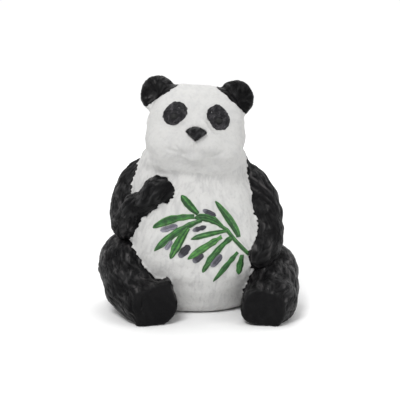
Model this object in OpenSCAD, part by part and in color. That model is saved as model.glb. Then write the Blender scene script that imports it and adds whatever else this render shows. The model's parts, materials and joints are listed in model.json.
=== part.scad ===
// Seated panda figure: hollow cast shells and solid cast limbs, pinned and bonded, with
// painted eye patches and a painted bamboo sprig. Millimetres, +Z up, the face towards -Y.
// "right" and "left" are the panda's own sides, so its right side is at -X.

/* [Casting] */
// Wall thickness of the hollow shells
wall = 6; // [4:0.5:10]
// Bond line between two castings
bond = 0.15; // [0.1:0.05:0.3]
// Thickness of a painted layer
paint = 0.8; // [0.4:0.1:1.2]
// Radius of the dowels that pin the limbs to the torso
dowel_r = 3; // [2:0.5:4]
// Length of the dowels that pin the limbs to the torso
dowel_length = 26; // [20:1:30]

/* [Torso] */
// Offset of the torso from the middle of the legs
torso_x = 2.5; // [0:0.5:5]
// Y position of the seam between the front and back shells
seam_y = 18; // [10:1:26]
// Squareness of a level cut through the torso
torso_squareness = 2.2; // [2:0.1:3]
// Width of the strip that backs a seam on the inside
band_width = 24; // [16:1:36]
// Thickness of that strip
band_thickness = 2; // [1.5:0.5:3]

/* [Head] */
// Centre of the head
head_at = [-3.5, -6, 236]; // [-20:1:260]
// Turn of the head towards the panda's right, in degrees
head_turn = -8; // [-12:1:0]
// Lean of the head towards the panda's left, in degrees
head_lean = 4.5; // [0:0.5:6]
// Distance of the head's seam behind its centre
head_seam = 4; // [0:1:10]
// Radius of an ear
ear_r = 26; // [22:1:30]
// Thickness of an ear
ear_thickness = 20; // [16:1:24]
// Radius of the pins that hold the ears and the head
ear_pin_r = 2; // [1.5:0.5:2.5]
// Length of the pins that hold an ear
ear_pin_length = 20; // [16:1:24]
// Length of the pins that hold the head
neck_pin_length = 22; // [18:1:26]

/* [Base] */
// Thickness of the disc that closes the torso
disc_thickness = 8; // [6:1:12]
// Radius of the pour hole in the base disc
plug_r = 14; // [10:1:18]
// Gap between the stopper and the pour hole
plug_gap = 0.1; // [0.05:0.05:0.1]
// Width of the stopper's rim beyond the hole
rim_width = 4; // [3:0.5:6]
// Thickness of the stopper's rim
rim_thickness = 2; // [1.5:0.5:3]

/* [Hidden] */

SLICE = 0.02;      // thickness of one level cut of a loft
OVERCUT = 1;       // how far a cut runs past the face it opens
FAR = 400;         // a length past the whole figure
RING = 32;         // points round one level cut
BALL = 24;         // facets round a ball of a limb
ROUND = 48;        // facets round a pin or a hole
TIP = 10;          // facets round the end of a brush stroke

// Stations of the torso: height, half-width, front, back and sideways shift
TORSO = [[0, 62, -30, 79, 0], [5, 67, -38, 87, 0], [20, 79, -48, 97, 0], [45, 91, -59, 102, 0],
    [75, 96, -65, 104, 0], [100, 95, -65, 101, -1], [120, 90, -62, 97, -3],
    [140, 84, -58, 92, -5], [160, 82, -53, 84, -7], [178, 76, -48, 75, -8],
    [190, 71, -43, 68, -8], [202, 61, -35, 59, -8], [211, 44, -23, 48, -8]];
// Stations of the head about its own centre
HEAD = [[-57, 24, -24, 30], [-50, 43, -42, 44], [-38, 56, -52, 50], [-20, 62, -57, 54],
    [5, 62, -56, 55], [25, 57, -52, 52], [40, 48, -44, 46], [50, 39, -33, 36], [56, 26, -20, 22]];
HEAD_SQUARENESS = 2.3;
MUZZLE = [[0, -50, -14], [38, 20, 24]];     // centre and half-sizes, about the head's centre
EAR_AT = [50, 3, 41];                       // the left ear's centre, about the head's centre
EAR_TURN = 18;
CUP = [[0, -14, 0], [18, 12, 18]];          // the hollow in the front of an ear
EYE_AT = [26.8, -50, 20.8];                  // the left eye patch's centre, about the head's centre
EYE_PATCH = [12, 16.5];                     // half-width and half-length of a patch
EYE_SLANT = 42;
EYE_DEPTH = 14;                             // reach of the patch's outline into the head
PATCH_DEPTH = 2;                            // depth of the patch's inlay
EYE_R = 5;
EYE_DROP = [1, -4];                         // an eye's offset from its patch, back and up
NOSE_AT = [0, -66, 1];
NOSE_BACK = 4;                              // reach of the nose behind NOSE_AT
NOSE_FRONT = 7;                             // reach in front of it
NOSE_TAPER = 0.6;                           // size of its front face
NOSE_STEP = 2;                              // where it starts to taper
NOSE = [[-14, 3], [-9, 8], [0, 9.5], [9, 8], [14, 3], [10, 0], [5, -3], [0, -9], [-5, -3], [-10, 0]];

// Balls of the limbs, from the body outwards: [centre, radius]
RIGHT_ARM = [[[-58, 24, 184], 16], [[-72, 25, 174], 20.5], [[-82, 25, 162], 22],
    [[-90, 18, 144], 22], [[-93, 5, 127], 22.5], [[-94, -4, 115], 20], [[-82, -20, 139], 17.5],
    [[-70, -30, 148], 15.5], [[-59, -37, 162], 17], [[-52, -42, 167], 16]];
LEFT_ARM = [[[55, 8, 181], 16.5], [[63, 3, 173], 19.5], [[71, -3, 162], 22.5],
    [[79, -5, 144], 25.5], [[84, -10, 122], 27], [[87, -18, 106], 23.5], [[85, -27, 93], 22.5],
    [[80, -36, 84], 22], [[74, -42, 76], 19]];
RIGHT_LEG = [[[-66, 34, 48], 46], [[-90, 17, 60], 40], [[-93, 2, 53], 38],
    [[-92, -26, 38], 34], [[-80, -50, 29], 29]];
LEFT_LEG = [[[66, 34, 46], 45], [[87, 12, 50], 39.5], [[93, -12, 45], 40],
    [[91, -42, 36], 35], [[85, -66, 29], 29]];
// Soles: middle, front, width and height
RIGHT_SOLE = [-64, -83, 50, 54];
LEFT_SOLE = [68, -104, 56, 47];
SOLE_EDGE = 13;                             // radius of a sole's rounded edge

// Leaves of the sprig on the belly, seen from the front: [base, bend, tip, half-width]
LEAVES = [
    [[-8, 135], [-19, 146], [-28, 158], 5],
    [[-13, 132], [-40, 128], [-63, 116], 5],
    [[-4, 127], [-34, 113], [-62, 87], 4.5],
    [[-21, 118], [-32, 101], [-43, 79], 5.5],
    [[21, 119], [6, 129], [-13, 130], 5],
    [[43, 104], [36, 120], [14, 150], 5],
    [[28, 113], [5, 110], [-18, 104], 3.5],
    [[21, 106], [0, 94], [-22, 79], 5],
    [[34, 104], [15, 88], [-3, 61], 5],
    [[42, 85], [27, 68], [11, 48], 4],
    [[48, 81], [46, 69], [44, 55], 5]];
LEAF_BASE = 0.6;       // half-width at a leaf's base, as a share of its widest
LEAF_TIP = 0.3;        // half-width at its tip
STROKE_GAP = 0.5;      // bare strip between a leaf and the stem or a limb
// The stem's route from the paw to the first leaves, seen from the front
STEM = [[58, 80], [48, 90], [38, 101], [28, 114], [21, 119]];
STEM_R = 2.5;
// Short dabs among the leaves: [centre, angle, half-length, half-width]
DABS = [[[6, 136], -25, 9, 3], [[-44, 117], 20, 11, 3.5], [[-7, 117], 15, 9, 3],
    [[-45, 96], 60, 7, 3], [[-26, 89], 50, 10, 4.5], [[-9, 80], 40, 8, 4.5],
    [[14, 76], 50, 10, 4.5]];

// Pins: [start on the inside, direction]
RIGHT_ARM_PINS = [[[-72, 22, 164], [-60, 0, 0]], [[-76, -5, 126], [-60, -10, -6]]];
LEFT_ARM_PINS = [[[62, 0, 163], [60, -6, 0]], [[78, -4, 110], [50, -20, 0]]];
LEG_PINS = [[[80, 24, 44], [60, 0, 0]], [[63, -27, 40], [40, -40, 0]]];
EAR_PINS = [[-7, 0], [7, 0]];
EAR_PIN_SLANT = 45;
EAR_PIN_INSET = 12;    // distance of the ear pins inwards and down from the ear's centre
HEAD_BAND_DROP = 18;   // distance of the head's inner strip below its centre
PLUG_LIFT = 1;         // distance of the stopper's rim above the plane it stands on
PLUG_FREE = 5;         // extra radius of the recess round the stopper's rim
NECK_PINS = [[-58, 5, 192], [50, 5, 192]];

function signed_power(v, p) = sign(v) * pow(abs(v), p);
function squircle(rx, ry, n) = [for (i = [0:RING - 1]) let (a = i * 360 / RING)
    [rx * signed_power(cos(a), 2 / n), ry * signed_power(sin(a), 2 / n)]];

module level(station, n, grow) {
    depth = (station[3] - station[2]) / 2 + grow;
    shift = len(station) > 4 ? station[4] : 0;
    translate([shift, (station[2] + station[3]) / 2, station[0]])
        linear_extrude(SLICE) polygon(squircle(station[1] + grow, depth, n));
}

module loft(stations, n, grow = 0) {
    for (i = [0:len(stations) - 2])
        hull() {
            level(stations[i], n, grow);
            level(stations[i + 1], n, grow);
        }
}

module ellipsoid(centre, half, grow = 0) {
    translate(centre) scale(half + [grow, grow, grow]) sphere(1, $fn = ROUND / 2);
}

module limb(balls, grow = 0) {
    for (i = [0:len(balls) - 2])
        hull()
            for (ball = [balls[i], balls[i + 1]])
                translate(ball[0]) sphere(ball[1] + grow, $fn = BALL);
}

module pin(start, direction, radius, length) {
    translate(start)
        rotate([0, acos(direction.z / norm(direction)), atan2(direction.y, direction.x)])
            cylinder(h = length, r = radius, $fn = ROUND);
}

module front_half(y, keep_front = true) {
    intersection() {
        children();
        translate([-FAR / 2, keep_front ? y - FAR : y, -OVERCUT]) cube(FAR);
    }
}

// ---- whole forms, before they are cut into castings ----

module torso_form(grow = 0) {
    translate([torso_x, 0, 0]) loft(TORSO, torso_squareness, grow);
}

module torso_cavity(extra = 0) {
    intersection() {
        translate([torso_x, 0, -OVERCUT]) loft(TORSO, torso_squareness, -wall - extra);
        translate([-FAR / 2, -FAR / 2, -2 * OVERCUT])
            cube([FAR, FAR, TORSO[len(TORSO) - 1][0] - wall - extra + 2 * OVERCUT]);
    }
}

module in_head() {
    translate(head_at) rotate([0, head_lean, head_turn]) children();
}

module head_form(grow = 0) {
    in_head() {
        loft(HEAD, HEAD_SQUARENESS, grow);
        ellipsoid(MUZZLE[0], MUZZLE[1], grow);
    }
}

module head_cavity(extra = 0) {
    in_head() intersection() {
        loft(HEAD, HEAD_SQUARENESS, -wall - extra);
        translate([-FAR / 2, -FAR / 2, -FAR + HEAD[len(HEAD) - 1][0] - wall - extra]) cube(FAR);
    }
}

module in_ear(side) {
    in_head() translate([side * EAR_AT.x, EAR_AT.y, EAR_AT.z]) rotate([0, 0, side * EAR_TURN])
        children();
}

module arm_form(side, grow = 0) limb(side < 0 ? RIGHT_ARM : LEFT_ARM, grow);

module foot(sole, grow) {
    reach = sole[2] / 2 - SOLE_EDGE;
    for (x = [-reach, reach], z = [SOLE_EDGE, sole[3] - SOLE_EDGE])
        translate([sole[0] + x, sole[1] + SOLE_EDGE, z]) sphere(SOLE_EDGE + grow, $fn = BALL);
}

module leg_form(side, grow = 0) {
    balls = side < 0 ? RIGHT_LEG : LEFT_LEG;
    heel = balls[len(balls) - 1];
    intersection() {
        union() {
            limb(balls, grow);
            hull() {
                foot(side < 0 ? RIGHT_SOLE : LEFT_SOLE, grow);
                translate(heel[0]) sphere(heel[1] + grow, $fn = BALL);
            }
        }
        translate([-FAR / 2, -FAR / 2, 0]) cube(FAR);
    }
}

module arm_pins(side, gap = 0) {
    for (p = side < 0 ? RIGHT_ARM_PINS : LEFT_ARM_PINS)
        pin(p[0], p[1], dowel_r + gap, dowel_length + gap);
}

module leg_pins(side, gap = 0) {
    for (p = LEG_PINS)
        pin([side * p[0].x, p[0].y, p[0].z], [side * p[1].x, p[1].y, p[1].z],
            dowel_r + gap, dowel_length + gap);
}

module ear_pins_of(side, gap = 0) {
    in_ear(side) for (p = EAR_PINS)
        translate([p.x - side * EAR_PIN_INSET, p.y, -EAR_PIN_INSET])
            rotate([0, side * EAR_PIN_SLANT, 0])
                cylinder(h = ear_pin_length + gap, r = ear_pin_r + gap, center = true, $fn = ROUND);
}

module neck_pins(gap = 0) {
    for (p = NECK_PINS)
        translate(p) cylinder(h = neck_pin_length + gap, r = ear_pin_r + gap, $fn = ROUND);
}

module all_pins(gap) {
    for (side = [-1, 1]) {
        arm_pins(side, gap);
        leg_pins(side, gap);
    }
    neck_pins(gap);
}

// ---- castings ----

module torso_shell(keep_front) {
    color("whitesmoke") difference() {
        front_half(seam_y, keep_front) torso_form();
        torso_cavity();
        all_pins(bond);
    }
}

module torso_front() torso_shell(true);
module torso_back() torso_shell(false);

module torso_seam_band() {
    color("tan") difference() {
        intersection() {
            torso_cavity(bond);
            translate([-FAR / 2, seam_y - band_width / 2, disc_thickness + OVERCUT])
                cube([FAR, band_width, FAR]);
        }
        torso_cavity(bond + band_thickness);
        all_pins(bond);
    }
}

module base_disc() {
    station = TORSO[0];
    depth = (station[3] - station[2]) / 2 - wall - bond;
    middle = (station[2] + station[3]) / 2;
    color("gainsboro") difference() {
        translate([torso_x, middle, 0]) linear_extrude(disc_thickness)
            polygon(squircle(station[1] - wall - bond, depth, torso_squareness));
        translate([torso_x, middle, -OVERCUT]) {
            cylinder(h = disc_thickness + 2 * OVERCUT, r = plug_r, $fn = ROUND);
            cylinder(h = OVERCUT + PLUG_LIFT + rim_thickness, r = plug_r + PLUG_FREE, $fn = ROUND);
        }
    }
}

module base_plug() {
    color("dimgray") translate([torso_x, (TORSO[0][2] + TORSO[0][3]) / 2, PLUG_LIFT]) {
        cylinder(h = rim_thickness, r = plug_r + rim_width, $fn = ROUND);
        translate([0, 0, rim_thickness])
            cylinder(h = disc_thickness - PLUG_LIFT, r = plug_r - plug_gap, $fn = ROUND);
    }
}

module head_shell(keep_front) {
    color("whitesmoke") difference() {
        front_half(head_at.y + head_seam, keep_front) head_form();
        head_cavity();
        torso_form(bond);
        neck_pins(bond);
        for (side = [-1, 1]) {
            ear_pins_of(side, bond);
            eye_socket(side, bond);
        }
    }
}

module head_front() head_shell(true);
module head_back() head_shell(false);

module head_seam_band() {
    color("tan") difference() {
        intersection() {
            head_cavity(bond);
            translate([-FAR / 2, head_at.y + head_seam - band_width / 2, head_at.z - HEAD_BAND_DROP])
                cube([FAR, band_width, FAR]);
        }
        head_cavity(bond + band_thickness);
        torso_form(bond);
        for (side = [-1, 1]) ear_pins_of(side, bond);
    }
}

module ear(side) {
    color("dimgray") difference() {
        in_ear(side) difference() {
            hull() {
                ellipsoid([0, 0, 0], [ear_r, ear_thickness / 2, ear_r]);
                ellipsoid([-side * 4, 0, -4], [ear_r, ear_thickness / 2, ear_r]);
            }
            ellipsoid(CUP[0], CUP[1]);
        }
        head_form(bond);
        ear_pins_of(side, bond);
    }
}

module right_ear() ear(-1);
module left_ear() ear(1);

module ear_pins() {
    color("peru") for (side = [-1, 1]) ear_pins_of(side);
}

module arm(side) {
    color("dimgray") difference() {
        arm_form(side);
        torso_form(bond);
        head_form(bond);
        leg_form(side, bond);
        arm_pins(side, bond);
    }
}

module right_arm() arm(-1);
module left_arm() arm(1);

module arm_dowels() {
    color("peru") for (side = [-1, 1]) arm_pins(side);
}

module leg(side) {
    color("dimgray") difference() {
        leg_form(side);
        torso_form(bond);
        leg_pins(side, bond);
    }
}

module right_leg() leg(-1);
module left_leg() leg(1);

module leg_dowels() {
    color("peru") for (side = [-1, 1]) leg_pins(side);
}

module neck_dowels() {
    color("peru") neck_pins();
}

module nose() {
    color("black") difference() {
        in_head() translate(NOSE_AT) rotate([90, 0, 0])
            hull() {
                translate([0, 0, NOSE_FRONT - 1]) linear_extrude(1) scale(NOSE_TAPER) polygon(NOSE);
                translate([0, 0, -NOSE_BACK]) linear_extrude(NOSE_BACK + NOSE_STEP) polygon(NOSE);
            }
        head_form(bond);
    }
}

// ---- painted details ----

module patch_prism(side, grow = 0) {
    in_head() translate([side * EYE_AT.x, EYE_AT.y, EYE_AT.z]) rotate([90, side * EYE_SLANT, 0])
        scale([EYE_PATCH.x + grow, EYE_PATCH.y + grow, 1])
            cylinder(h = 2 * EYE_DEPTH, r = 1, center = true, $fn = 36);
}

module eye_ball(side, grow = 0) {
    in_head() translate([side * EYE_AT.x, EYE_AT.y + EYE_DROP[0], EYE_AT.z + EYE_DROP[1]])
        sphere(EYE_R + grow, $fn = 32);
}

module eye_socket(side, grow = 0) {
    difference() {
        patch_prism(side, grow);
        head_form(-PATCH_DEPTH);
    }
    eye_ball(side, grow);
}

module eye_patch(side) {
    color("black") difference() {
        intersection() {
            patch_prism(side);
            head_form();
        }
        head_form(-PATCH_DEPTH + bond);
        eye_ball(side, bond);
    }
}

module right_eye_patch() eye_patch(-1);
module left_eye_patch() eye_patch(1);

module eye(side) {
    color("black") eye_ball(side);
}

module right_eye() eye(-1);
module left_eye() eye(1);

module on_belly() {
    difference() {
        intersection() {
            translate([0, seam_y, 0]) rotate([90, 0, 0]) linear_extrude(FAR) children();
            torso_form(paint);
        }
        torso_form(bond / 3);
    }
}

module stroke(points, widths) {
    for (i = [0:len(points) - 2])
        hull() {
            translate(points[i]) circle(widths[i], $fn = TIP);
            translate(points[i + 1]) circle(widths[i + 1], $fn = TIP);
        }
}

module bamboo_stem() {
    color("forestgreen") difference() {
        on_belly() stroke(STEM, [for (p = STEM) STEM_R]);
        arm_form(1, STROKE_GAP);
    }
}

module leaf_outlines() {
    for (leaf = LEAVES)
        stroke([leaf[0], leaf[1], leaf[2]], [leaf[3] * LEAF_BASE, leaf[3], leaf[3] * LEAF_TIP]);
}

module bamboo_leaves() {
    color("forestgreen") difference() {
        on_belly() difference() {
            leaf_outlines();
            stroke(STEM, [for (p = STEM) STEM_R + STROKE_GAP]);
        }
        arm_form(-1, STROKE_GAP);
        leg_form(-1, STROKE_GAP);
    }
}

module brush_dabs() {
    color("slategray") on_belly() difference() {
        for (dab = DABS)
            translate(dab[0]) rotate(dab[1]) hull()
                for (end = [-1, 1])
                    translate([end * (dab[2] - dab[3]), 0]) circle(dab[3], $fn = TIP);
        leaf_outlines();
    }
}

torso_front();
torso_back();
torso_seam_band();
base_disc();
base_plug();
head_front();
head_back();
head_seam_band();
neck_dowels();
right_ear();
left_ear();
ear_pins();
right_arm();
left_arm();
arm_dowels();
right_leg();
left_leg();
leg_dowels();
nose();
right_eye_patch();
left_eye_patch();
right_eye();
left_eye();
bamboo_stem();
bamboo_leaves();
brush_dabs();
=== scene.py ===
"""Looks of the seated panda figure, sculpted round its packed design.

The figure is a smooth signed-distance form in millimetres. It is cut into one closed casting for
each piece of the design, meshed, engraved with fur strokes and painted with procedural materials.
"""
import json
import math

import bpy
import bmesh
import numpy as np
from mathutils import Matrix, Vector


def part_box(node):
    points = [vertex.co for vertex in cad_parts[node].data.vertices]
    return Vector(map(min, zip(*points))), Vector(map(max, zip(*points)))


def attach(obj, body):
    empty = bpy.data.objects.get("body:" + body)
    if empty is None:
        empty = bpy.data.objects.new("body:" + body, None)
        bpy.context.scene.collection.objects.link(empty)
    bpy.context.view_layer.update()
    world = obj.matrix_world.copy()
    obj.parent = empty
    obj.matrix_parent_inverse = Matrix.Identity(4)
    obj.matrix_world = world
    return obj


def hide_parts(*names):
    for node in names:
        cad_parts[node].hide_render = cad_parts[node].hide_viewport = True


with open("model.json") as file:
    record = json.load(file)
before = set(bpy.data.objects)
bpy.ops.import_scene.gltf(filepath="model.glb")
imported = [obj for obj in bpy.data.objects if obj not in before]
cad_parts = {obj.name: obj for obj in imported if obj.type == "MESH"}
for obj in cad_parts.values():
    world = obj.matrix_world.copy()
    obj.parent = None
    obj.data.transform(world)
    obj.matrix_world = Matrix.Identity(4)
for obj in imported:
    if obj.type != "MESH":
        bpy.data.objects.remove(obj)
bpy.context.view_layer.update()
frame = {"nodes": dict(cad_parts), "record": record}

import openvdb
from mathutils import Matrix, Vector
from mathutils.bvhtree import BVHTree

MM = 0.001
BODY = "figure"
FUR_STEP = 1.1        # mesh spacing on furry castings, in mm
FACE_STEP = 0.6       # mesh spacing on small face pieces, in mm
GAP = 0.05                               # half the bond line between castings, in mm
LAP = 3.0                                # how far the torso runs into the head, in mm
SHARP = math.radians(55)                 # bends beyond this angle keep a crisp edge
TORSO_WALL, TORSO_ROOF = 5.7, 6.0        # thickness of the torso's sides and top, in mm
HEAD_WALL = 7.0                          # thickness of the head's sides, in mm
HEAD_ROOF = 44                           # top of the head's hollow above its middle, in mm


def middle(*nodes):
    """Middle, lowest and highest corner of the design's nodes together, in mm."""
    corners = np.array([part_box(n) for n in nodes]) / MM
    low, high = corners[:, 0].min(0), corners[:, 1].max(0)
    return (low + high) / 2, low, high


# ---------------------------------------------------------------- camera, light and stage

def camera():
    """The photograph's view: a little from the panda's right and from above."""
    turn, distance, height = math.radians(-8), 1.10, 0.33
    aim = Vector((0.0025, 0.0, 0.1425))
    lens = bpy.data.cameras.new("view_camera")
    lens.sensor_width, lens.lens = 36, 76.6
    shot = bpy.data.objects.new("view_camera", lens)
    shot.location = (aim.x + math.sin(turn) * distance, -math.cos(turn) * distance, height)
    shot.rotation_mode = "QUATERNION"
    shot.rotation_quaternion = (aim - shot.location).to_track_quat("-Z", "Y")
    bpy.context.collection.objects.link(shot)
    bpy.context.scene.camera = shot


LIT_POINT = Vector((0, 0, 0.16))
# Softboxes, all turned to the lit point: name, place, size and power in watts
SOFTBOXES = (
    ("key_light", (-0.55, -0.95, 1.35), 0.55, 17),
    ("fill_light", (1.1, -0.7, 0.6), 0.9, 4),
    ("top_light", (0.1, 0.4, 1.4), 0.8, 5))
FLOOR_HALF = 3.0                         # half the side of the floor, in metres


def softbox(name, place, size, power):
    light = bpy.data.lights.new(name, "AREA")
    light.energy, light.size = power, size
    holder = bpy.data.objects.new(name, light)
    holder.location = place
    holder.rotation_mode = "QUATERNION"
    holder.rotation_quaternion = (LIT_POINT - Vector(place)).to_track_quat("-Z", "Y")
    bpy.context.collection.objects.link(holder)


def backdrop():
    """White light all round, bright behind the figure and dimmer in front of it."""
    world = bpy.data.worlds.new("studio")
    bpy.context.scene.world = world
    world.use_nodes = True
    tree = world.node_tree
    sky = tree.nodes["Background"]
    sky.inputs["Color"].default_value = (1.0, 1.0, 1.0, 1)
    where = tree.nodes.new("ShaderNodeTexCoord")
    split = tree.nodes.new("ShaderNodeSeparateXYZ")
    tree.links.new(where.outputs["Generated"], split.inputs["Vector"])
    reach = tree.nodes.new("ShaderNodeMapRange")
    for socket, value in (("From Min", -0.3), ("From Max", 0.5), ("To Min", 0.42), ("To Max", 1.02)):
        reach.inputs[socket].default_value = value
    tree.links.new(split.outputs["Y"], reach.inputs["Value"])
    tree.links.new(reach.outputs["Result"], sky.inputs["Strength"])


def studio():
    backdrop()
    for box in SOFTBOXES:
        softbox(*box)
    bpy.context.scene.view_settings.view_transform = "Standard"
    mesh = bpy.data.meshes.new("floor")
    half = FLOOR_HALF
    mesh.from_pydata([(-half, -half, 0), (half, -half, 0), (half, half, 0), (-half, half, 0)],
                     [], [(0, 1, 2, 3)])
    floor = bpy.data.objects.new("floor", mesh)
    bpy.context.collection.objects.link(floor)
    mesh.materials.append(floor_material())


# ---------------------------------------------------------------- material helpers

class Paint:
    """A Principled material with short calls for the node graph it needs."""

    def __init__(self, name, roughness):
        self.material = bpy.data.materials.new(name)
        self.material.use_nodes = True
        self.tree = self.material.node_tree
        self.shader = self.tree.nodes["Principled BSDF"]
        self.shader.inputs["Roughness"].default_value = roughness
        self.place = self.node("ShaderNodeTexCoord").outputs["Object"]

    def node(self, kind, inputs=None, **settings):
        made = self.tree.nodes.new(kind)
        for name, value in settings.items():
            setattr(made, name, value)
        for name, value in (inputs or {}).items():
            if isinstance(value, bpy.types.NodeSocket):
                self.tree.links.new(value, made.inputs[name])
            else:
                made.inputs[name].default_value = value
        return made

    def noise(self, size, detail=3.0, stretch=(1, 1, 1), roughness=0.55):
        """Grey noise whose features are about size metres across."""
        where = self.node("ShaderNodeMapping", {"Vector": self.place, "Scale": stretch})
        made = self.node("ShaderNodeTexNoise", {"Vector": where.outputs["Vector"],
                                                "Scale": 1 / size, "Detail": detail,
                                                "Roughness": roughness})
        return made.outputs["Fac"]

    def attribute(self, name):
        return self.node("ShaderNodeAttribute", attribute_name=name).outputs["Fac"]

    def ramp(self, factor, *stops):
        made = self.node("ShaderNodeValToRGB", {"Fac": factor})
        band = made.color_ramp
        while len(band.elements) < len(stops):
            band.elements.new(0.5)
        for element, (place, colour) in zip(band.elements, stops):
            element.position = place
            element.color = (*colour, 1)
        return made.outputs["Color"]

    def mix(self, factor, a, b, blend="MIX"):
        made = self.node("ShaderNodeMix", data_type="RGBA", blend_type=blend)
        for index, value in ((0, factor), (6, a), (7, b)):
            if isinstance(value, bpy.types.NodeSocket):
                self.tree.links.new(value, made.inputs[index])
            elif index == 0:
                made.inputs[index].default_value = value
            else:
                made.inputs[index].default_value = (*value, 1)
        return made.outputs[2]

    def math(self, operation, a, b=0.0):
        made = self.node("ShaderNodeMath", operation=operation)
        for index, value in enumerate((a, b)):
            if isinstance(value, bpy.types.NodeSocket):
                self.tree.links.new(value, made.inputs[index])
            else:
                made.inputs[index].default_value = value
        return made.outputs["Value"]

    def spread(self, factor, low, high):
        """Maps 0..1 to low..high."""
        made = self.node("ShaderNodeMapRange", {"Value": factor, "To Min": low, "To Max": high})
        return made.outputs["Result"]

    def finish(self, colour, roughness, heights=()):
        """Links the colour, the roughness and a chain of (height, depth in metres) bumps."""
        self.tree.links.new(colour, self.shader.inputs["Base Color"])
        self.tree.links.new(roughness, self.shader.inputs["Roughness"])
        normal = None
        for height, depth in heights:
            bump = self.node("ShaderNodeBump", {"Height": height, "Distance": depth,
                                                "Strength": 1.0})
            if normal is not None:
                self.tree.links.new(normal, bump.inputs["Normal"])
            normal = bump.outputs["Normal"]
        if normal is not None:
            self.tree.links.new(normal, self.shader.inputs["Normal"])
        return self.material


def floor_material():
    """Pale floor that brightens into the backdrop away from the figure."""
    paint = Paint("pale_floor", roughness=0.6)
    colour = paint.ramp(paint.noise(0.4), (0.35, (0.93, 0.93, 0.93)), (0.7, (0.95, 0.95, 0.95)))
    away = paint.node("ShaderNodeVectorMath", {0: paint.place}, operation="LENGTH")
    glow = paint.node("ShaderNodeMapRange", {"Value": away.outputs["Value"], "From Min": 0.25,
                                             "From Max": 1.6, "To Min": 0.0, "To Max": 0.55},
                      interpolation_type="SMOOTHSTEP")
    paint.shader.inputs["Emission Color"].default_value = (0.98, 0.99, 1.0, 1)
    paint.tree.links.new(glow.outputs["Result"], paint.shader.inputs["Emission Strength"])
    return paint.finish(colour, paint.spread(paint.noise(0.05), 0.55, 0.7))


def white_paint(name, bright, groove_shade):
    """Matte white paint with painted shade: greyer in the engraved strokes, and greyer higher up,
    where more light falls.
    """
    paint = Paint(name, roughness=0.7)
    paint.shader.inputs["Specular IOR Level"].default_value = 0.3
    lit = tuple(bright * v for v in (1.0, 0.995, 0.975))
    shade = tuple(groove_shade * bright * v for v in (1.0, 0.995, 0.985))
    # Painted shade: the white turns grey where the stroke value is low, in the sunken parts of the
    # engraving
    strokes = paint.ramp(paint.attribute("stroke"), (0.10, shade), (0.55, lit))
    clouds = paint.ramp(paint.noise(0.03, 5), (0.30, (0.955, 0.955, 0.955)), (0.66, (1, 1, 1)))
    colour = paint.mix(1.0, strokes, clouds, "MULTIPLY")
    specks = paint.ramp(paint.noise(0.0035, 3), (0.32, (0.93, 0.93, 0.93)), (0.5, (1, 1, 1)))
    colour = paint.mix(0.9, colour, specks, "MULTIPLY")
    height = paint.node("ShaderNodeSeparateXYZ", {"Vector": paint.place}).outputs["Z"]
    share = paint.math("MULTIPLY", height, 4.0)      # 0 on the floor, 1 at 250 mm
    # Painted shade: the white is greyed higher up, where more light falls
    painted_top_shade = paint.ramp(share, (0.08, (1, 1, 1)), (0.75, (0.86, 0.86, 0.86)))
    colour = paint.mix(1.0, colour, painted_top_shade, "MULTIPLY")
    rough = paint.spread(paint.noise(0.012), 0.6, 0.8)
    return paint.finish(colour, rough, ((paint.noise(0.007, 4), 0.0007),
                                        (paint.noise(0.0018, 3), 0.00022)))


def black_paint(name, low, high):
    """Satin charcoal paint with a painted highlight: paler on the ridges of the fur strokes."""
    paint = Paint(name, roughness=0.5)
    ridge = paint.attribute("stroke")
    # Painted highlight: the colour turns paler where the stroke value is high, on the raised ridges
    strokes = paint.ramp(ridge, (0.30, low), (0.58, low), (0.90, high))
    clouds = paint.ramp(paint.noise(0.035, 4), (0.35, (0.6, 0.6, 0.63)),
                        (0.65, (1.5, 1.42, 1.4)))
    colour = paint.mix(1.0, strokes, clouds, "MULTIPLY")
    rough = paint.spread(paint.noise(0.009, 3), 0.34, 0.62)
    shine = paint.math("MULTIPLY", paint.math("POWER", ridge, 2.0), 0.42)
    shine = paint.math("ADD", shine, 0.07)
    paint.tree.links.new(shine, paint.shader.inputs["Specular IOR Level"])
    return paint.finish(colour, rough, ((paint.noise(0.0045, 4), 0.0009),
                                        (paint.noise(0.0015, 3), 0.0003)))


def leaf_paint(name, tone):
    """Streaked green brush strokes: pale rim, dark outline, mid green with lighter streaks."""
    paint = Paint(name, roughness=0.42)
    across = paint.attribute("across")
    streak = paint.attribute("streak")
    body = paint.ramp(streak, (0.15, tuple(0.35 * v for v in tone)), (0.5, tone),
                      (0.9, (0.085, 0.26, 0.05)))
    patches = paint.ramp(paint.noise(0.007, 3), (0.35, (0.45, 0.5, 0.45)), (0.62, (1.25, 1.2, 1)))
    body = paint.mix(1.0, body, patches, "MULTIPLY")
    edge = paint.ramp(paint.attribute("side"), (0.0, (1, 1, 1)), (0.62, (1, 1, 1)),
                      (0.82, (0.16, 0.22, 0.16)))
    colour = paint.mix(1.0, body, edge, "MULTIPLY")
    rim = paint.ramp(across, (0.90, (0, 0, 0)), (0.98, (1, 1, 1)))
    colour = paint.mix(rim, colour, (0.16, 0.33, 0.12))
    rough = paint.spread(streak, 0.5, 0.34)
    return paint.finish(colour, rough, ((streak, 0.0003), (paint.noise(0.0015), 0.0001)))


def dab_paint():
    """Thin violet-grey paint, darker in some dabs, that thins out at one end."""
    paint = Paint("dab_paint", roughness=0.55)
    streak = paint.attribute("streak")
    pale = paint.ramp(streak, (0.2, (0.10, 0.095, 0.13)), (0.85, (0.34, 0.33, 0.39)))
    dark = paint.ramp(streak, (0.2, (0.004, 0.004, 0.007)), (0.9, (0.030, 0.028, 0.042)))
    colour = paint.mix(paint.attribute("tone"), pale, dark)
    thin = paint.ramp(paint.attribute("run"), (0.0, (0.35, 0.35, 0.35)), (0.3, (0, 0, 0)))
    colour = paint.mix(thin, colour, (0.46, 0.46, 0.52))
    return paint.finish(colour, paint.spread(streak, 0.45, 0.62), ((streak, 0.0002),))


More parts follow.
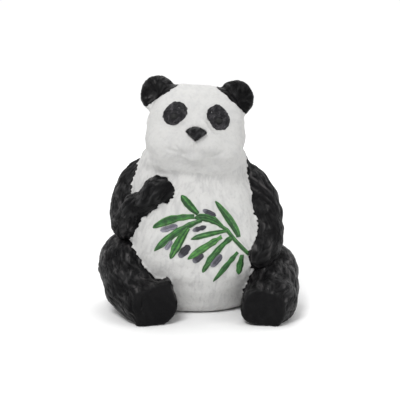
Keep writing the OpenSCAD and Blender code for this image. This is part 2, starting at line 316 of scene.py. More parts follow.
def plain_finish(name, base, rough_low, rough_high, grain, stretch=(1, 1, 1)):
    """Plaster, wood, rubber or the eyes' paint: tone and roughness vary with one grain."""
    paint = Paint(name, roughness=rough_high)
    grey = paint.noise(grain, 4, stretch)
    colour = paint.ramp(grey, (0.3, tuple(0.8 * v for v in base)),
                        (0.7, tuple(min(1, 1.12 * v) for v in base)))
    return paint.finish(colour, paint.spread(grey, rough_low, rough_high), ((grey, 0.0002),))


# ---------------------------------------------------------------- signed-distance forms, in mm

def length(*parts):
    return np.sqrt(sum(p * p for p in parts))


def join(a, b, k):
    """Union of two forms with a fillet about k wide."""
    h = np.clip(0.5 + 0.5 * (b - a) / k, 0, 1)
    return b + (a - b) * h - k * h * (1 - h)


def carve(a, b, k):
    """What two forms share, with a rounded edge about k wide."""
    return -join(-a, -b, k)


def ellipsoid(at, centre, half):
    x, y, z = (at[i] - centre[i] for i in range(3))
    near = length(x / half[0], y / half[1], z / half[2])
    steep = length(x / half[0] ** 2, y / half[1] ** 2, z / half[2] ** 2)
    return near * (near - 1) / np.maximum(steep, 1e-6)


def along(at, a, b):
    """Share of the way from a to b of the nearest point on that line."""
    d = np.subtract(b, a).astype(float)
    return np.clip(sum((at[i] - a[i]) * d[i] for i in range(3)) / (d @ d), 0, 1)


def limb(at, balls, k):
    """Balls (x, y, z, radius) joined one after the other."""
    whole = None
    for first, second in zip(balls[:-1], balls[1:]):
        h = along(at, first[:3], second[:3])
        off = [at[i] - first[i] - h * (second[i] - first[i]) for i in range(3)]
        piece = length(*off) - (first[3] + (second[3] - first[3]) * h)
        whole = piece if whole is None else join(whole, piece, k)
    return whole


def curve(places, values, wanted):
    """Smooth curve through (places, values)."""
    places, values = np.array(places, float), np.array(values, float)
    slopes = np.gradient(values, places)
    i = np.clip(np.searchsorted(places, wanted) - 1, 0, len(places) - 2)
    span = places[i + 1] - places[i]
    t = np.clip((wanted - places[i]) / span, 0, 1)
    return ((2 * t**3 - 3 * t**2 + 1) * values[i] + (t**3 - 2 * t**2 + t) * span * slopes[i]
            + (3 * t**2 - 2 * t**3) * values[i + 1] + (t**3 - t**2) * span * slopes[i + 1])


def loft(at, stations, squareness):
    """Level squircles: stations are height, half-width, front and back."""
    heights = [s[0] for s in stations]
    wide, front, back = (curve(heights, [s[i] for s in stations], at[2]) for i in (1, 2, 3))
    deep = (back - front) / 2
    ring = (np.abs(at[0] / wide) ** squareness
            + np.abs((at[1] - (front + back) / 2) / deep) ** squareness) ** (1 / squareness)
    return (ring - 1) * np.minimum(wide, deep) * 0.95


def ripple(at, size, seed, waves=10):
    """Cheap smooth noise of about unit height and the given feature size."""
    random = np.random.default_rng(seed)
    total = 0
    for _ in range(waves):
        way = random.normal(size=3)
        way *= math.tau / (size * random.uniform(0.7, 1.5)) / np.linalg.norm(way)
        total = total + np.sin(sum(at[i] * way[i] for i in range(3)) + random.uniform(0, 7))
    return total / math.sqrt(waves / 2)


def turned(at, centre, turn, lean=0.0, nod=0.0):
    """Places seen from a frame at centre, turned about Z, leant about Y and nodded about X."""
    spin = (Matrix.Rotation(math.radians(turn), 3, "Z")
            @ Matrix.Rotation(math.radians(lean), 3, "Y")
            @ Matrix.Rotation(math.radians(nod), 3, "X"))
    off = [at[i] - centre[i] for i in range(3)]
    return tuple(sum(spin[j][i] * off[j] for j in range(3)) for i in range(3))


# ---------------------------------------------------------------- the figure's forms

TORSO_AT, _, TORSO_HIGH = middle("torso_front", "torso_back")
_, _, HEAD_HIGH = middle("head_front", "head_back")
HEAD_MIDDLE, _, _ = middle("head_back")
# From the middle, the back and the top of the head's box to the head's own middle
HEAD_SIDE, HEAD_BACK, HEAD_TOP = 0.4, 55.6, 57.7
HEAD_AT = (HEAD_MIDDLE[0] + HEAD_SIDE, HEAD_HIGH[1] - HEAD_BACK, HEAD_HIGH[2] - HEAD_TOP)
HEAD_TURN, HEAD_LEAN = -8, 4.5           # in degrees

# All in mm. Height, half-width, front and back of level cuts through the torso
TORSO = ((0, 62, -30, 79), (4, 67, -37, 86), (20, 79, -48, 97), (45, 91, -59, 102),
         (75, 96, -65, 104), (100, 95, -65, 101), (120, 90, -62, 97), (140, 84, -58, 92),
         (160, 82, -53, 84), (178, 76, -48, 75), (190, 71, -43, 68), (200, 64, -37, 61),
         (207, 55, -30, 54), (211, 44, -23, 48))
TORSO_SQUARE = 2.2           # 2 is an ellipse, more is squarer
TORSO_LEAN = -8              # sideways shift of the torso's top
LEAN_FROM, LEAN_OVER = 90, 80            # height where the shift starts, and how far it grows
# The lip at the base and the groove over it: height, spread, and how far each stands out
BASE_LIP = ((2.4, 2.2, 1.4), (6.4, 1.5, -0.9))
# Level cuts through the head, about its own middle
HEAD = ((-58, 26, -22, 30), (-51, 43, -40, 44), (-38, 56, -51, 50), (-20, 62.5, -56, 54),
        (5, 62.5, -56, 55), (25, 57, -52, 52), (40, 48, -44, 46), (50, 40, -33, 36),
        (58, 26, -18, 20))
HEAD_SQUARE, HEAD_HOLLOW_SQUARE = 2.35, 2.3
HEAD_FLATS = (56, -57)       # where the crown and the chin are levelled
# Bulges of the face: middle, half sizes and fillet. Lips and cheeks come in pairs
MUZZLE = ((0, -44, -2), (26, 22, 20), 18)
UPPER_LIP = ((13, -50, -14), (17, 17, 13), 12)
CHEEK = ((34, -38, -20), (20, 18, 18), 16)
CHIN = ((0, -46, -30), (15, 16, 9), 9)
# Soft grooves of the mouth: points sideways and up, width and depth
CREASES = (
    (((-33, -22), (-23, -24), (-14, -25.5)), 2.6, 0.95),
    (((-23, -17.5), (-16, -23)), 1.8, 0.7),
    (((16, -25.5), (26, -25), (34, -21)), 2.4, 1.2),
    (((-15, -32), (-7, -38), (0, -42.5), (8, -43)), 2.8, 1.1),
    (((0, -10), (-0.5, -17)), 1.6, 1.2))
EYE_TILT = {-1: 45, 1: 39}   # lean of an eye patch's long axis, in degrees
EYE_AT = {-1: (-27.3, -50, 21.3), 1: (26.2, -50, 20.3)}
SOCKET, SOCKET_OUT = (15, 6, 18), 7      # hollow round an eye, and how far before it it sits
PATCH = (12.2, 16.3)                     # half the width and the length of an eye patch
PATCH_SQUARE = 2.3
BALL, BALL_BACK, BALL_DOWN = (5.4, 4.0, 4.2), 1.3, 4     # an eyeball, and its place in its patch
NOSE_AT = (0.5, -67, 1.5)
EAR_AT = {-1: (-52, 3, 40.5), 1: (48, 0, 42)}
EAR_TURN, EAR_NOD = 18, -4               # in degrees
EAR_DISC = (24, 11, 24)
EAR_ROOT_AT, EAR_ROOT = (10, 2, -10), (18, 10, 18)       # towards the head
EAR_CUP_AT, EAR_CUP = (0, -14.5, -1), (19.5, 13, 19.5)   # hollow in the ear's front
EAR_WAY = (0.62, 0.785)                  # outwards and up, the way in which the head turns black
EAR_EDGE = {-1: 59.6, 1: 57.2}           # how far that way the black of an ear starts
# How deep the castings are let into the torso, and the ears and the nose into the head
INTO_TORSO, EAR_INTO_HEAD, NOSE_INTO_HEAD = 3.5, 4, 3
EARS = {"right_ear": -1, "left_ear": 1}  # and the side of each

# Balls joined one after the other: place about the middle of the limb's box, and radius.
# The heights of the legs are from the floor
RIGHT_ARM = ((18, 29.5, 38, 16), (4, 30.5, 28, 20.5), (-6, 30.5, 16, 22), (-14, 23.5, -2, 22),
             (-17, 10.5, -19, 22.5), (-18, 1.5, -31, 20), (-6, -14.5, -7, 17.5),
             (6, -24.5, 2, 15.5), (17, -31.5, 16, 17), (20, -35.5, 19, 14.5))
# Tufts along the raised paw, of one radius
TOE = 5.2
RIGHT_TOES = ((18, -37.5, 32), (26, -39.5, 29.5), (32, -40.5, 24), (35, -40.5, 17.5),
              (34, -40.5, 10.5), (30, -39.5, 6.5))
LEFT_ARM = ((-29.5, 28, 52.5, 16.5), (-21.5, 23, 44.5, 19.5), (-13.5, 17, 33.5, 22.5),
            (-5.5, 15, 15.5, 25.5), (-0.5, 10, -6.5, 27), (2.5, 2, -22.5, 23.5),
            (0.5, -7, -35.5, 22.5), (-4.5, -16, -44.5, 22), (-10.5, -22, -52.5, 19))
RIGHT_LEG = ((19, 35.5, 48, 46), (-5, 18.5, 60, 40), (-8, 3.5, 55, 37.5), (-8, -24.5, 38, 32),
             (5, -48.5, 27, 27))
LEFT_LEG = ((-20.5, 47, 46, 45), (0.5, 25, 50, 39), (6.5, 1, 45, 39.5), (5.5, -29, 36, 32.5),
            (-1.5, -53, 28, 27))
# Undersides of the legs, where they rest on the floor
RIGHT_PAD = ((-4, 3.5, 26, 28), (1, -32.5, 25, 29), (7, -55.5, 24, 27))
LEFT_PAD = ((1.5, 13, 26, 27), (5.5, -27, 27, 31), (-0.5, -61, 25, 30))
# Outlines of the flat soles: sideways and up from the foot's middle on the floor
RIGHT_SOLE = ((-26, 45), (20, 57), (26, 38), (28, 19), (17, 4), (-9, -2), (-25, 0))
LEFT_SOLE = ((-27, 31), (-20, 43), (-3, 48), (15, 44), (26, 34), (30, 14), (20, -1), (-5, -1),
             (-22, 4), (-29, 14))
# Feet: middle and front of the sole, its turn and its nod, and the depth behind it
RIGHT_FOOT = (22, -81.5, 2, -8, 50)
LEFT_FOOT = (-20.5, -89, -14, -3, 60)
SOLE_DISH_AT, SOLE_DISH = (0, -3, 24), (19, 5, 16)
SOLE_TOP, SOLE_BACK = 56, -70            # the soles lie below this height and before this line
LIMBS = {"right_arm": RIGHT_ARM, "left_arm": LEFT_ARM, "right_leg": RIGHT_LEG, "left_leg": LEFT_LEG}
LIMB_AT = {node: middle(node)[0] for node in LIMBS}
# Each leg's underside, sole and foot, and the seed of its sole's slight unevenness
LEGS = {"right_leg": (RIGHT_PAD, RIGHT_SOLE, RIGHT_FOOT, 30),
        "left_leg": (LEFT_PAD, LEFT_SOLE, LEFT_FOOT, 32)}


def about(node, balls):
    """Balls of an arm about the middle of its box, or of a leg about that middle on the floor."""
    x, y, z = LIMB_AT[node]
    base = 0 if node in LEGS else z
    return [(ball[0] + x, ball[1] + y, ball[2] + base, *ball[3:]) for ball in balls]


def in_torso(at):
    """Places about the torso's leaning middle line."""
    lean = TORSO_LEAN * np.clip((at[2] - LEAN_FROM) / LEAN_OVER, 0, 1)
    return (at[0] - TORSO_AT[0] - lean, at[1], at[2])


def torso_form(at):
    form = loft(in_torso(at), TORSO, TORSO_SQUARE)
    form = form - sum(out * np.exp(-(((at[2] - height) / spread) ** 2))
                      for height, spread, out in BASE_LIP)
    form = carve(form, at[2] - TORSO_HIGH[2], 6)
    return carve(form, -at[2], 1.5)


def crease(here, points, wide, deep):
    """Depth of a soft groove pressed into the front along points (sideways, up)."""
    near = None
    for (x, z), (next_x, next_z) in zip(points, points[1:]):
        d_x, d_z = next_x - x, next_z - z
        h = np.clip(((here[0] - x) * d_x + (here[2] - z) * d_z) / (d_x**2 + d_z**2), 0, 1)
        off = length(here[0] - x - h * d_x, here[2] - z - h * d_z)
        near = off if near is None else np.minimum(near, off)
    return deep * np.exp(-((near / wide) ** 2)) * (here[1] < -20)


def in_head(at):
    """Places about the head's own middle, turned and leant with it."""
    return turned(at, HEAD_AT, HEAD_TURN, HEAD_LEAN)


def bulge(form, here, shape, side=1):
    (x, y, z), half, k = shape
    return join(form, ellipsoid(here, (side * x, y, z), half), k)


def head_form(at):
    here = in_head(at)
    form = loft(here, HEAD, HEAD_SQUARE)
    form = carve(carve(form, here[2] - HEAD_FLATS[0], 8), HEAD_FLATS[1] - here[2], 8)
    form = bulge(form, here, MUZZLE)
    for side in (-1, 1):
        form = bulge(form, here, UPPER_LIP, side)
        form = bulge(form, here, CHEEK, side)
    form = bulge(form, here, CHIN)
    for points, wide, deep in CREASES:
        form = form + crease(here, points, wide, deep)
    for side in (-1, 1):
        x, y, z = EYE_AT[side]
        form = carve(form, -ellipsoid(here, (x, y - SOCKET_OUT, z), SOCKET), 6)
    return form


def ear_form(at, side):
    """A rounded disc on a root, with its front cupped."""
    here = turned(in_head(at), EAR_AT[side], side * EAR_TURN, 0, EAR_NOD)
    form = ellipsoid(here, (0, 0, 0), EAR_DISC)
    x, y, z = EAR_ROOT_AT
    form = join(form, ellipsoid(here, (-side * x, y, z), EAR_ROOT), 8)
    return carve(form, -ellipsoid(here, EAR_CUP_AT, EAR_CUP), 4)


def nose_form(at):
    """Seen from the front a shallow arch over a blunt V, with a crowned front."""
    here = in_head(at)
    x, y, z = (here[i] - NOSE_AT[i] for i in range(3))
    arch = z - (6.2 - 0.030 * x * x)
    vee = -(z + 10.5 - 0.95 * np.abs(x) + 0.012 * x * x)
    shape = carve(arch, vee * 0.72, 4.5)
    front = -(y + 6.8) + 0.012 * x * x
    return carve(carve(shape, front, 4.5), y - 5, 2)


def outline(here, corners, k):
    """Endless bar along Y with a convex outline, corners given clockwise seen from the front."""
    form = None
    for (x, z), (next_x, next_z) in zip(corners, corners[1:] + corners[:1]):
        side = math.hypot(next_x - x, next_z - z)
        out = ((here[0] - x) * (z - next_z) + (here[2] - z) * (next_x - x)) / side
        form = out if form is None else carve(form, out, k)
    return form


def arm_form(at, node):
    form = limb(at, about(node, LIMBS[node]), 1.5)
    if node == "right_arm":
        for toe in about(node, RIGHT_TOES):
            form = join(form, ellipsoid(at, toe, (TOE, TOE, TOE)), 3)
    return form


def leg_form(at, node):
    pads, sole, (x, front, turn, nod, deep), seed = LEGS[node]
    form = join(limb(at, about(node, LIMBS[node]), 2), limb(at, about(node, pads), 2), 10)
    place = (LIMB_AT[node][0] + x, LIMB_AT[node][1] + front, 0)
    here = turned(at, place, turn, 0, nod)
    foot = carve(outline(here, sole, 5), here[1] - deep, 8)
    foot = carve(foot, -here[1] + 0.4 * ripple(at, 18, seed), 6)
    form = join(form, foot, 6)
    form = carve(form, -ellipsoid(here, SOLE_DISH_AT, SOLE_DISH), 4)
    return carve(form, -at[2], 1.5)


def figure(at):
    """The raw forms, and the whole figure's surface with its fillets and hand-made lumps."""
    raw = {"torso": torso_form(at), "head": head_form(at)}
    whole = join(raw["torso"], raw["head"], 26)
    for node in LIMBS:
        raw[node] = leg_form(at, node) if node in LEGS else arm_form(at, node)
        whole = join(whole, raw[node], 5)
    for ear, side in EARS.items():
        raw[ear] = ear_form(at, side)
        whole = join(whole, raw[ear], 4)
    whole = whole + 0.30 * ripple(at, 34, 5) + 0.14 * ripple(at, 14, 6)
    whole = carve(whole, -at[2], 1.2)
    raw["nose"] = nose_form(at)
    whole = join(whole, raw["nose"], 1.5)
    return raw, whole


def claims(at, raw):
    """What each casting takes of the figure: negative where it is that casting's."""
    ragged = 1.1 * ripple(at, 9, 11) + 0.7 * ripple(at, 4.5, 12)
    depth = -(raw["torso"] + INTO_TORSO)
    taken = {}
    for arm, leg in (("right_arm", "right_leg"), ("left_arm", "left_leg")):
        edge = np.maximum(raw[arm] - raw["torso"] + ragged, raw[arm] - raw["head"]) / 2
        taken[arm] = np.maximum(np.maximum(edge, (raw[arm] - raw[leg]) / 2), depth)
        edge = np.maximum((raw[leg] - raw["torso"] + ragged) / 2, (raw[leg] - raw[arm]) / 2)
        taken[leg] = np.maximum(edge, depth)
    here = in_head(at)
    for ear, side in EARS.items():
        reach = EAR_WAY[0] * side * here[0] + EAR_WAY[1] * here[2]
        edge = EAR_EDGE[side] - reach + 0.35 * ragged
        taken[ear] = np.maximum(edge, -(raw["head"] + EAR_INTO_HEAD))
    taken["nose"] = np.maximum(raw["nose"] - 0.3, -(raw["head"] + NOSE_INTO_HEAD))
    head = np.maximum((raw["head"] - raw["torso"]) / 2, depth)
    for other in ("right_arm", "left_arm", "right_ear", "left_ear", "nose"):
        head = np.maximum(head, -taken[other])
    taken["head"] = head
    return taken


def eye_patch(at, side):
    """The painted patch's outline, seen along the head's own Y axis."""
    here = in_head(at)
    x, z = (here[0] - EYE_AT[side][0]) * side, here[2] - EYE_AT[side][2]
    tilt = math.radians(EYE_TILT[side])
    u = x * math.cos(tilt) + z * math.sin(tilt)
    v = z * math.cos(tilt) - x * math.sin(tilt)
    ring = (np.abs(u / PATCH[0]) ** PATCH_SQUARE
            + np.abs(v / PATCH[1]) ** PATCH_SQUARE) ** (1 / PATCH_SQUARE)
    return np.maximum((ring - 1) * 12.3 + 0.25 * ripple(at, 5, 21), here[1] + 20)


def eye_ball(at, side):
    x, y, z = EYE_AT[side]
    return ellipsoid(in_head(at), (x, y + BALL_BACK, z - BALL_DOWN), BALL)


# ---------------------------------------------------------------- meshing and engraving

def surface(form, low, high, step):
    """Points (mm) and quads of a form's surface inside a box, worked out only near the surface."""
    block = 4
    low = np.asarray(low, float) - 4 * step
    count = np.ceil((np.asarray(high) + 4 * step - low) / (step * block)).astype(int)
    middles = [low[i] + (np.arange(count[i]) * block + (block - 1) / 2) * step for i in range(3)]
    coarse = form([g.astype(np.float32) for g in np.meshgrid(*middles, indexing="ij")])
    field = np.where(coarse < 0, -9.0, 9.0).astype(np.float32)
    for axis in range(3):
        field = np.repeat(field, block, axis=axis)
    near = np.argwhere(np.abs(coarse) < block * step * 1.25 + 0.8)
    inner = np.stack(np.meshgrid(*[np.arange(block)] * 3, indexing="ij"), -1).reshape(-1, 3)
    cells = (near[:, None, :] * block + inner[None]).reshape(-1, 3)
    at = (low + cells * step).astype(np.float32).T
    field[cells[:, 0], cells[:, 1], cells[:, 2]] = form(at)
    grid = openvdb.FloatGrid(9.0)
    grid.copyFromArray(field)
    points, quads = grid.convertToQuads(0.0)
    return points * step + low, quads[:, ::-1].astype(int)


def links(quads):
    """Every side and diagonal of every quad, as pairs of points."""
    pairs = [quads[:, [i, (i + 1) % 4]] for i in range(4)] + [quads[:, [0, 2]], quads[:, [1, 3]]]
    return np.concatenate(pairs)


def spread_out(values, pairs, weights, rounds):
    """Each point takes the weighted mean of itself and its neighbours, again and again."""
    a, b = pairs[:, 0], pairs[:, 1]
    size = len(values)
    total = 1e-3 + np.bincount(a, weights, size) + np.bincount(b, weights, size)
    for _ in range(rounds):
        around = (np.bincount(a, weights * values[b], size)
                  + np.bincount(b, weights * values[a], size))
        values = (0.25 * values + 0.75 * around / total)
    return values


def strokes(points, quads, flow, seed, rounds):
    """Random tones drawn out along the flow, between about -1 and 1."""
    pairs = links(quads)
    way = points[pairs[:, 1]] - points[pairs[:, 0]]
    way /= np.linalg.norm(way, axis=1, keepdims=True) + 1e-9
    drift = (flow[pairs[:, 0]] + flow[pairs[:, 1]]) / 2
    straight = np.abs((way * drift).sum(1)) ** 9
    tone = np.random.default_rng(seed).normal(size=len(points))
    tone = spread_out(tone, pairs, straight + 0.015, rounds)
    return np.tanh(tone / (1.6 * tone.std()))        # even, with few extremes


def slope(form, points, reach=0.6):
    """Outward direction of a form's surface at each point."""
    out = np.empty_like(points)
    for axis in range(3):
        step = np.zeros(3)
        step[axis] = reach
        ahead, behind = form((points + step).T), form((points - step).T)
        out[:, axis] = ahead - behind
    return out / (np.linalg.norm(out, axis=1, keepdims=True) + 1e-9)


def level_with(flow, normal):
    """The flow laid flat on the surface."""
    flat = flow - (flow * normal).sum(1, keepdims=True) * normal
    return flat / (np.linalg.norm(flat, axis=1, keepdims=True) + 1e-9)


def whole_form(at):
    return figure(at)[1]


def wander(points, size, seed):
    """A slowly changing direction that keeps strokes from running dead straight."""
    return np.stack([ripple(points.T, size, seed + i) for i in range(3)], -1) * 0.6


def limb_flow(node):
    """Strokes follow the nearest stretch of the limb."""
    chain = about(node, LIMBS[node])

    def flow(points):
        best = np.full(len(points), 1e9)
        way = np.zeros_like(points)
        for first, second in zip(chain[:-1], chain[1:]):
            step = np.subtract(second[:3], first[:3])
            h = along(points.T, first[:3], second[:3])
            gap = np.linalg.norm(points - np.array(first[:3]) - h[:, None] * step, axis=1)
            gap -= first[3] + (second[3] - first[3]) * h
            near = np.clip((best - gap) / 8 + 0.5, 0, 1)[:, None]
            way = way * (1 - near) + near * step / np.linalg.norm(step)
            best = np.minimum(best, gap)
        return way + 0.35 * wander(points, 25, 3)
    return flow


def body_flow(points):
    """Strokes run down the torso and spread away from its middle line."""
    away = (points - [TORSO_AT[0], 0, 0]) * [0.010, 0, 0]
    return np.array([0, 0, -1.0]) + away + 0.5 * wander(points, 40, 5)


def flow_away(node, waver, size, seed):
    """Strokes run away from the middle of a node."""
    centre = middle(node)[0]

    def flow(points):
        away = points - centre
        away /= np.linalg.norm(away, axis=1, keepdims=True)
        return away + waver * wander(points, size, seed)
    return flow


def engrave(points, quads, flow_of, depth, seed):
    """Cuts strokes into the outside of a casting. Returns its points and each one's tone, 0..1, low
    in the cuts for painted shade and high on the ridges for a painted highlight.
    """
    skin = np.clip(1.6 - np.abs(whole_form(points.T)) / 0.45, 0, 1)
    normal = slope(whole_form, points)
    flow = level_with(flow_of(points), normal)
    fine = strokes(points, quads, flow, seed, 12)
    broad = strokes(points, quads, flow, seed + 1, 34)
    cuts = np.exp(-(strokes(points, quads, flow, seed + 2, 24) / 0.16) ** 2)
    # The flat soles are brushed smooth
    sole = np.clip((-normal[:, 1] - 0.80) / 0.1, 0, 1) * (points[:, 2] < SOLE_TOP)
    skin = skin * (1 - 0.8 * sole * (points[:, 1] < SOLE_BACK))
    height = depth * (0.45 * fine + 0.75 * broad - 0.9 * cuts)
    # The tone rises and falls with the carved height: painted highlight on the ridges, painted shade
    # in the cuts
    tone = np.clip(0.5 + 0.22 * fine + 0.30 * broad - 0.35 * cuts, 0, 1)
    carved = points + normal * (height * skin)[:, None]
    carved[:, 2] = np.maximum(carved[:, 2], 0)
    return carved, tone * skin + 0.3 * (1 - skin)


def make_piece(name, points, quads, slot, nodes, **tones):
    """A closed mesh that stands for some nodes of the design and rides with the figure."""
    mesh = bpy.data.meshes.new(name)
    mesh.from_pydata((np.asarray(points) * MM).tolist(), [], np.asarray(quads).tolist())
    for attribute, values in tones.items():
        layer = mesh.attributes.new(attribute, "FLOAT", "POINT")
        layer.data.foreach_set("value", np.asarray(values, np.float32))
    mesh.polygons.foreach_set("use_smooth", [True] * len(mesh.polygons))
    mesh.set_sharp_from_angle(angle=SHARP)
    mesh.materials.append(MATERIALS[slot])
    made = bpy.data.objects.new(name, mesh)
    bpy.context.collection.objects.link(made)
    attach(made, BODY)
    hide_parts(*nodes)
    return made


def cut_half(source, name, seam, keep_front):
    """The front or the back of a shell, cut along its upright seam and closed there."""
    mesh = source.copy()
    mesh.name = name
    work = bmesh.new()
    work.from_mesh(mesh)
    geometry = work.verts[:] + work.edges[:] + work.faces[:]
    cut = bmesh.ops.bisect_plane(work, geom=geometry, dist=1e-7, plane_co=(0, seam * MM, 0),
                                 plane_no=(0, 1, 0), clear_outer=keep_front,
                                 clear_inner=not keep_front)
    rim = [e for e in cut["geom_cut"] if isinstance(e, bmesh.types.BMEdge)]
    bmesh.ops.triangle_fill(work, edges=rim, use_beauty=True, normal=(0, 1, 0))
    for face in work.faces:
        face.smooth = len(face.verts) > 3 or abs(face.normal.y) < 0.999
    bmesh.ops.recalc_face_normals(work, faces=work.faces)
    work.to_mesh(mesh)
    work.free()
    mesh.set_sharp_from_angle(angle=SHARP)
    made = bpy.data.objects.new(name, mesh)
    bpy.context.collection.objects.link(made)
    return made


# ---------------------------------------------------------------- castings

def inset(stations, depth):
    return [(s[0], s[1] - depth, s[2] + depth, s[3] - depth) for s in stations]


def torso_hollow(at):
    shaft = loft(in_torso(at), inset(TORSO, TORSO_WALL), TORSO_SQUARE)
    return np.maximum(shaft, at[2] - (TORSO_HIGH[2] - TORSO_ROOF))


def head_hollow(at):
    here = in_head(at)
    return carve(loft(here, inset(HEAD, HEAD_WALL), HEAD_HOLLOW_SQUARE), here[2] - HEAD_ROOF, 2)


def part_of(which):
    """The form of one casting: what it claims of the figure, less its hollow."""
    def form(at):
        raw, whole = figure(at)
        taken = claims(at, raw)
        if which == "torso":
            # The torso runs on inside the head's skin, so that no line shows between them
            head = taken.pop("head") + GAP + LAP
            nearest = np.minimum(head, np.minimum.reduce(list(taken.values())))
            return np.maximum(np.maximum(whole, GAP - nearest), -torso_hollow(at))
        if which == "head":
            return np.maximum(np.maximum(whole, taken["head"]), -head_hollow(at))
        return np.maximum(whole, taken[which] + GAP)
    return form


def shell(which, flow, slot, depth, seed):
    """A hollow casting in two halves."""
    front, back = which + "_front", which + "_back"
    seam = middle(front)[2][1]
    low, high = middle(front, back)[1:]
    points, quads = surface(part_of(which), low - 3, high + 3, FUR_STEP)
    points, tone = engrave(points, quads, flow, depth, seed)
    mesh = bpy.data.meshes.new(which)
    mesh.from_pydata((points * MM).tolist(), [], quads.tolist())
    layer = mesh.attributes.new("stroke", "FLOAT", "POINT")
    layer.data.foreach_set("value", tone.astype(np.float32))
    mesh.materials.append(MATERIALS[slot])
    for name, keep_front in ((front, True), (back, False)):
        half = cut_half(mesh, name + "_cast", seam, keep_front)
        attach(half, BODY)
        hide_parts(name)


def solid_casting(node, flow, depth, seed):
    low, high = middle(node)[1:]
    points, quads = surface(part_of(node), low - 6, high + 6, FUR_STEP)
    points, tone = engrave(points, quads, flow, depth, seed)
    make_piece(node + "_cast", points, quads, "black_fur", [node], stroke=tone)


# Depth of the fur strokes, in mm
TORSO_FUR, HEAD_FUR, LIMB_FUR, EAR_FUR = 0.20, 0.08, 0.75, 0.5


def castings():
    shell("torso", body_flow, "white_body", TORSO_FUR, 100)
    shell("head", flow_away("nose", 0.4, 30, 9), "white_head", HEAD_FUR, 200)
    for index, node in enumerate(LIMBS):
        solid_casting(node, limb_flow(node), LIMB_FUR, 300 + 10 * index)
    for index, ear in enumerate(EARS):
        solid_casting(ear, flow_away(ear, 0.3, 20, 13), EAR_FUR, 400 + 10 * index)


# ---------------------------------------------------------------- face details

def small_piece(node, form, slot, grow=2.0):
    low, high = middle(node)[1:]
    points, quads = surface(form, low - grow, high + grow, FACE_STEP)
    tone = 0.52 + 0.13 * ripple(points.T, 7, 71) + 0.08 * ripple(points.T, 2.6, 72)
    make_piece(node + "_detail", points, quads, slot, [node], stroke=np.clip(tone, 0, 1))


def patch_form(side):
    """A thin skin with lids sculpted round the eye."""
    def form(at):
        whole = whole_form(at)
        here = in_head(at)
        x, z = here[0] - EYE_AT[side][0], here[2] - (EYE_AT[side][2] - BALL_DOWN)
        ring = length(x / 6.4, z / 4.6)
        lid = 1.3 * np.exp(-(((ring - 1.15) / 0.30) ** 2))
        fold = 0.8 * np.exp(-(((ring - 2.0) / 0.22) ** 2))
        skin = whole - 0.65 - lid - fold - 0.22 * ripple(at, 5, 51) - 0.12 * ripple(at, 2.5, 52)
        return np.maximum(carve(skin, eye_patch(at, side), 1.0), -(whole + 0.6))
    return form


def face():
    small_piece("nose", lambda at: part_of("nose")(at) + 0.15 * ripple(at, 3, 61), "nose_black")
    for side, name in ((-1, "right"), (1, "left")):
        small_piece(name + "_eye_patch", patch_form(side), "eye_patch_black", 3)
        small_piece(name + "_eye", lambda at, side=side: eye_ball(at, side), "eye_gloss")


# ---------------------------------------------------------------- painted sprig

# Leaves seen from the front, about the middle of the leaves' box: base, bend, tip, half-width
LEAVES = (
    ((-2, 32), (-13, 43), (-22, 55), 5.0), ((-7, 29), (-34, 25), (-57, 13), 5.0),
    ((2, 24), (-28, 10), (-56, -16), 4.5), ((-15, 15), (-26, -2), (-37, -24), 5.5),
    ((27, 16), (12, 26), (-7, 27), 5.0), ((49, 1), (42, 17), (20, 47), 5.0),
    ((34, 10), (11, 7), (-12, 1), 3.5), ((27, 3), (6, -9), (-16, -24), 5.0),
    ((40, 1), (21, -15), (3, -42), 5.0), ((48, -18), (33, -35), (17, -55), 4.0),
    ((54, -22), (52, -34), (50, -48), 5.0))
STEM = ((64, -23), (54, -13), (44, -2), (34, 11), (27, 16))
STEM_WIDTH = 2.4                         # half of it
# Dabs: middle, angle, half-length, half-width, darkness
DABS = (((12, 33), -25, 9, 3, 0.9), ((-38, 14), 20, 11, 3.5, 0.45), ((-1, 14), 15, 9, 3, 1.0),
        ((-39, -7), 60, 7, 3, 0.25), ((-20, -14), 50, 10, 4.5, 1.0), ((-3, -23), 40, 8, 4.5, 0.95),
        ((20, -27), 50, 10, 4.5, 0.7))
SPRIG_SHIFT = (0.7, -0.1)                # from the middle of the leaves' box
LEAF_ROWS, STEM_ROWS, DAB_ROWS, ACROSS = 26, 30, 18, 11  # mesh points along and across a stroke
LIFT, CROWN, SUNK = 0.35, 0.55, 0.5      # a stroke's rim and crown over the skin, and its underside


def bend(a, b, c, t):
    """Curve that passes through b half way from a to c."""
    a, b, c = (np.array(p, float) for p in (a, b, c))
    pull = 2 * b - (a + c) / 2
    t = t[:, None]
    return (1 - t) ** 2 * a + 2 * t * (1 - t) * pull + t ** 2 * c


def strip_quads(rows):
    """Faces of a closed strip: its top, its underside and the rim between them."""
    size = rows * ACROSS
    cells = [(r * ACROSS + c, r * ACROSS + c + 1, (r + 1) * ACROSS + c + 1, (r + 1) * ACROSS + c)
             for r in range(rows - 1) for c in range(ACROSS - 1)]
    rim = ([(0, c) for c in range(ACROSS)] + [(r, ACROSS - 1) for r in range(1, rows)]
           + [(rows - 1, c) for c in range(ACROSS - 2, -1, -1)]
           + [(r, 0) for r in range(rows - 2, 0, -1)])
    rim = [r * ACROSS + c for r, c in rim]
    quads = [tuple(reversed(cell)) for cell in cells]
    quads += [tuple(i + size for i in cell) for cell in cells]
    quads += [(here, after, after + size, here + size)
              for here, after in zip(rim, rim[1:] + rim[:1])]
    return quads


